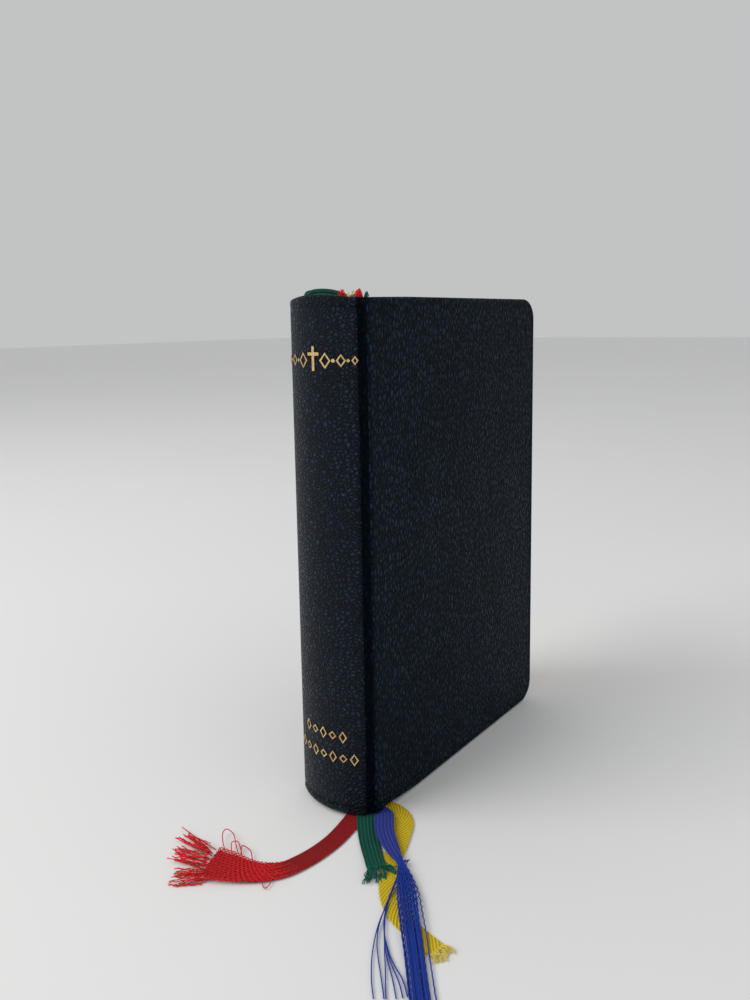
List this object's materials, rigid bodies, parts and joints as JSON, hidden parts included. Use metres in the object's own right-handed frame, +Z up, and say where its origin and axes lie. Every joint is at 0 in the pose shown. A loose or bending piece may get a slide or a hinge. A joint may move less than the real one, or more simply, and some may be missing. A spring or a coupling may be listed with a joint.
{
  "type": "prayer book",
  "caption": "Pocket prayer book in black pebbled leather with a rounded spine, gilt page edges, opening covers, turning page sections and frayed ribbon markers.",
  "frame": {"origin": "middle of the closed book's footprint, on the surface it stands on", "axes": "+Z up along the spine; the spine faces -X, the fore-edge +X, the front cover -Y and the back cover +Y"},
  "size_m": [0.1672, 0.101, 0.1738],
  "materials": {
    "leather": "pebbled, satin",
    "joint_leather": "pebbled, satin",
    "gold": "rubbed gold leaf",
    "board": "grey millboard, matt",
    "paper": "uncoated paper, matt",
    "gilt_paper": "thin paper with gilt edges",
    "endpaper": "black paper, matt",
    "lining": "kraft paper, matt",
    "mull": "open-weave cloth, matt",
    "thread": "linen thread, matt",
    "headband": "striped woven band",
    "ribbon_red": "knitted, satin",
    "ribbon_green": "ribbed, satin",
    "ribbon_blue": "ribbed, satin",
    "ribbon_yellow": "ribbed, satin"
  },
  "bodies": {
    "spine": {"spine_leather": "leather", "spine_stiffener": "board", "front_joint_leather": "joint_leather", "back_joint_leather": "joint_leather", "ornament_upper": "gold", "ornament_lower": "gold", "paper_lining": "lining", "mull_lining": "mull", "sewing_thread": "thread", "headband_head": "headband", "headband_tail": "headband", "sewn_folds": "paper", "leaves_14": "gilt_paper", "ribbon_red_marker": "ribbon_red", "ribbon_green_marker": "ribbon_green", "ribbon_blue_marker": "ribbon_blue", "ribbon_yellow_marker": "ribbon_yellow", "ribbon_red_tail": "ribbon_red", "ribbon_green_tail": "ribbon_green", "ribbon_blue_tail": "ribbon_blue", "ribbon_yellow_tail": "ribbon_yellow"},
    "front_endpaper": {"front_flyleaf": "endpaper"},
    "front_cover": {"front_leather": "leather", "front_board": "board", "front_infill": "lining", "front_pastedown": "endpaper"},
    "back_endpaper": {"back_flyleaf": "endpaper"},
    "back_cover": {"back_leather": "leather", "back_board": "board", "back_infill": "lining", "back_pastedown": "endpaper"},
    "leaves_01": {"leaves_01": "gilt_paper"},
    "leaves_02": {"leaves_02": "gilt_paper"},
    "leaves_03": {"leaves_03": "gilt_paper"},
    "leaves_04": {"leaves_04": "gilt_paper"},
    "leaves_05": {"leaves_05": "gilt_paper"},
    "leaves_06": {"leaves_06": "gilt_paper"},
    "leaves_07": {"leaves_07": "gilt_paper"},
    "leaves_08": {"leaves_08": "gilt_paper"},
    "leaves_09": {"leaves_09": "gilt_paper"},
    "leaves_10": {"leaves_10": "gilt_paper"},
    "leaves_11": {"leaves_11": "gilt_paper"},
    "leaves_12": {"leaves_12": "gilt_paper"},
    "leaves_13": {"leaves_13": "gilt_paper"},
    "leaves_15": {"leaves_15": "gilt_paper"},
    "leaves_16": {"leaves_16": "gilt_paper"},
    "leaves_17": {"leaves_17": "gilt_paper"},
    "leaves_18": {"leaves_18": "gilt_paper"},
    "leaves_19": {"leaves_19": "gilt_paper"},
    "leaves_20": {"leaves_20": "gilt_paper"},
    "leaves_21": {"leaves_21": "gilt_paper"},
    "leaves_22": {"leaves_22": "gilt_paper"},
    "leaves_23": {"leaves_23": "gilt_paper"},
    "leaves_24": {"leaves_24": "gilt_paper"},
    "leaves_25": {"leaves_25": "gilt_paper"},
    "leaves_26": {"leaves_26": "gilt_paper"},
    "leaves_27": {"leaves_27": "gilt_paper"}
  },
  "joints": [
    {"name": "front_pages_turn", "type": "hinge", "parent": "spine", "child": "front_endpaper", "pos_m": [-0.05015, -0.0167, 0.085], "axis": [0, 0, -1], "range_deg": [0, 90], "deforming": ["front_joint_leather", "ribbon_red_tail", "ribbon_green_tail", "ribbon_blue_tail", "ribbon_yellow_tail"]},
    {"name": "front_cover_open", "type": "hinge", "parent": "front_endpaper", "child": "front_cover", "pos_m": [-0.05015, -0.0167, 0.085], "axis": [0, 0, -1], "range_deg": [0, 90]},
    {"name": "back_pages_turn", "type": "hinge", "parent": "spine", "child": "back_endpaper", "pos_m": [-0.05015, 0.0167, 0.085], "axis": [0, 0, 1], "range_deg": [0, 90], "deforming": ["back_joint_leather"]},
    {"name": "back_cover_open", "type": "hinge", "parent": "back_endpaper", "child": "back_cover", "pos_m": [-0.05015, 0.0167, 0.085], "axis": [0, 0, 1], "range_deg": [0, 90]},
    {"name": "leaves_01_turn", "type": "hinge", "parent": "spine", "child": "leaves_01", "pos_m": [-0.04655, -0.0131, 0.085], "axis": [0, 0, -1], "range_deg": [0, 90]},
    {"name": "leaves_02_turn", "type": "hinge", "parent": "spine", "child": "leaves_02", "pos_m": [-0.04554, -0.01209, 0.085], "axis": [0, 0, -1], "range_deg": [0, 83.09]},
    {"name": "leaves_03_turn", "type": "hinge", "parent": "spine", "child": "leaves_03", "pos_m": [-0.04465, -0.01108, 0.085], "axis": [0, 0, -1], "range_deg": [0, 76.16]},
    {"name": "leaves_04_turn", "type": "hinge", "parent": "spine", "child": "leaves_04", "pos_m": [-0.04386, -0.01007, 0.085], "axis": [0, 0, -1], "range_deg": [0, 69.24]},
    {"name": "leaves_05_turn", "type": "hinge", "parent": "spine", "child": "leaves_05", "pos_m": [-0.04317, -0.00907, 0.085], "axis": [0, 0, -1], "range_deg": [0, 62.32]},
    {"name": "leaves_06_turn", "type": "hinge", "parent": "spine", "child": "leaves_06", "pos_m": [-0.04256, -0.00806, 0.085], "axis": [0, 0, -1], "range_deg": [0, 55.4]},
    {"name": "leaves_07_turn", "type": "hinge", "parent": "spine", "child": "leaves_07", "pos_m": [-0.04203, -0.00705, 0.085], "axis": [0, 0, -1], "range_deg": [0, 48.47]},
    {"name": "leaves_08_turn", "type": "hinge", "parent": "spine", "child": "leaves_08", "pos_m": [-0.04157, -0.00604, 0.085], "axis": [0, 0, -1], "range_deg": [0, 41.55]},
    {"name": "leaves_09_turn", "type": "hinge", "parent": "spine", "child": "leaves_09", "pos_m": [-0.04119, -0.00504, 0.085], "axis": [0, 0, -1], "range_deg": [0, 34.62]},
    {"name": "leaves_10_turn", "type": "hinge", "parent": "spine", "child": "leaves_10", "pos_m": [-0.04088, -0.00403, 0.085], "axis": [0, 0, -1], "range_deg": [0, 27.7]},
    {"name": "leaves_11_turn", "type": "hinge", "parent": "spine", "child": "leaves_11", "pos_m": [-0.04063, -0.00302, 0.085], "axis": [0, 0, -1], "range_deg": [0, 20.78]},
    {"name": "leaves_12_turn", "type": "hinge", "parent": "spine", "child": "leaves_12", "pos_m": [-0.04045, -0.00201, 0.085], "axis": [0, 0, -1], "range_deg": [0, 13.86]},
    {"name": "leaves_13_turn", "type": "hinge", "parent": "spine", "child": "leaves_13", "pos_m": [-0.04032, -0.00101, 0.085], "axis": [0, 0, -1], "range_deg": [0, 6.93]},
    {"name": "leaves_15_turn", "type": "hinge", "parent": "spine", "child": "leaves_15", "pos_m": [-0.04032, 0.00101, 0.085], "axis": [0, 0, 1], "range_deg": [0, 6.93]},
    {"name": "leaves_16_turn", "type": "hinge", "parent": "spine", "child": "leaves_16", "pos_m": [-0.04045, 0.00201, 0.085], "axis": [0, 0, 1], "range_deg": [0, 13.86]},
    {"name": "leaves_17_turn", "type": "hinge", "parent": "spine", "child": "leaves_17", "pos_m": [-0.04063, 0.00302, 0.085], "axis": [0, 0, 1], "range_deg": [0, 20.78]},
    {"name": "leaves_18_turn", "type": "hinge", "parent": "spine", "child": "leaves_18", "pos_m": [-0.04088, 0.00403, 0.085], "axis": [0, 0, 1], "range_deg": [0, 27.7]},
    {"name": "leaves_19_turn", "type": "hinge", "parent": "spine", "child": "leaves_19", "pos_m": [-0.04119, 0.00504, 0.085], "axis": [0, 0, 1], "range_deg": [0, 34.62]},
    {"name": "leaves_20_turn", "type": "hinge", "parent": "spine", "child": "leaves_20", "pos_m": [-0.04157, 0.00604, 0.085], "axis": [0, 0, 1], "range_deg": [0, 41.55]},
    {"name": "leaves_21_turn", "type": "hinge", "parent": "spine", "child": "leaves_21", "pos_m": [-0.04203, 0.00705, 0.085], "axis": [0, 0, 1], "range_deg": [0, 48.47]},
    {"name": "leaves_22_turn", "type": "hinge", "parent": "spine", "child": "leaves_22", "pos_m": [-0.04256, 0.00806, 0.085], "axis": [0, 0, 1], "range_deg": [0, 55.4]},
    {"name": "leaves_23_turn", "type": "hinge", "parent": "spine", "child": "leaves_23", "pos_m": [-0.04317, 0.00907, 0.085], "axis": [0, 0, 1], "range_deg": [0, 62.32]},
    {"name": "leaves_24_turn", "type": "hinge", "parent": "spine", "child": "leaves_24", "pos_m": [-0.04386, 0.01007, 0.085], "axis": [0, 0, 1], "range_deg": [0, 69.24]},
    {"name": "leaves_25_turn", "type": "hinge", "parent": "spine", "child": "leaves_25", "pos_m": [-0.04465, 0.01108, 0.085], "axis": [0, 0, 1], "range_deg": [0, 76.16]},
    {"name": "leaves_26_turn", "type": "hinge", "parent": "spine", "child": "leaves_26", "pos_m": [-0.04554, 0.01209, 0.085], "axis": [0, 0, 1], "range_deg": [0, 83.09]},
    {"name": "leaves_27_turn", "type": "hinge", "parent": "spine", "child": "leaves_27", "pos_m": [-0.04655, 0.0131, 0.085], "axis": [0, 0, 1], "range_deg": [0, 90]}
  ],
  "couplings": [
    {"joint": "leaves_01_turn", "follows": "front_pages_turn", "ratio": 1},
    {"joint": "leaves_02_turn", "follows": "front_pages_turn", "ratio": 0.92308},
    {"joint": "leaves_03_turn", "follows": "front_pages_turn", "ratio": 0.84615},
    {"joint": "leaves_04_turn", "follows": "front_pages_turn", "ratio": 0.76923},
    {"joint": "leaves_05_turn", "follows": "front_pages_turn", "ratio": 0.69231},
    {"joint": "leaves_06_turn", "follows": "front_pages_turn", "ratio": 0.61538},
    {"joint": "leaves_07_turn", "follows": "front_pages_turn", "ratio": 0.53846},
    {"joint": "leaves_08_turn", "follows": "front_pages_turn", "ratio": 0.46154},
    {"joint": "leaves_09_turn", "follows": "front_pages_turn", "ratio": 0.38461},
    {"joint": "leaves_10_turn", "follows": "front_pages_turn", "ratio": 0.30769},
    {"joint": "leaves_11_turn", "follows": "front_pages_turn", "ratio": 0.23077},
    {"joint": "leaves_12_turn", "follows": "front_pages_turn", "ratio": 0.15385},
    {"joint": "leaves_13_turn", "follows": "front_pages_turn", "ratio": 0.076923},
    {"joint": "leaves_15_turn", "follows": "back_pages_turn", "ratio": 0.076923},
    {"joint": "leaves_16_turn", "follows": "back_pages_turn", "ratio": 0.15385},
    {"joint": "leaves_17_turn", "follows": "back_pages_turn", "ratio": 0.23077},
    {"joint": "leaves_18_turn", "follows": "back_pages_turn", "ratio": 0.30769},
    {"joint": "leaves_19_turn", "follows": "back_pages_turn", "ratio": 0.38461},
    {"joint": "leaves_20_turn", "follows": "back_pages_turn", "ratio": 0.46154},
    {"joint": "leaves_21_turn", "follows": "back_pages_turn", "ratio": 0.53846},
    {"joint": "leaves_22_turn", "follows": "back_pages_turn", "ratio": 0.61538},
    {"joint": "leaves_23_turn", "follows": "back_pages_turn", "ratio": 0.69231},
    {"joint": "leaves_24_turn", "follows": "back_pages_turn", "ratio": 0.76923},
    {"joint": "leaves_25_turn", "follows": "back_pages_turn", "ratio": 0.84615},
    {"joint": "leaves_26_turn", "follows": "back_pages_turn", "ratio": 0.92308},
    {"joint": "leaves_27_turn", "follows": "back_pages_turn", "ratio": 1}
  ]
}
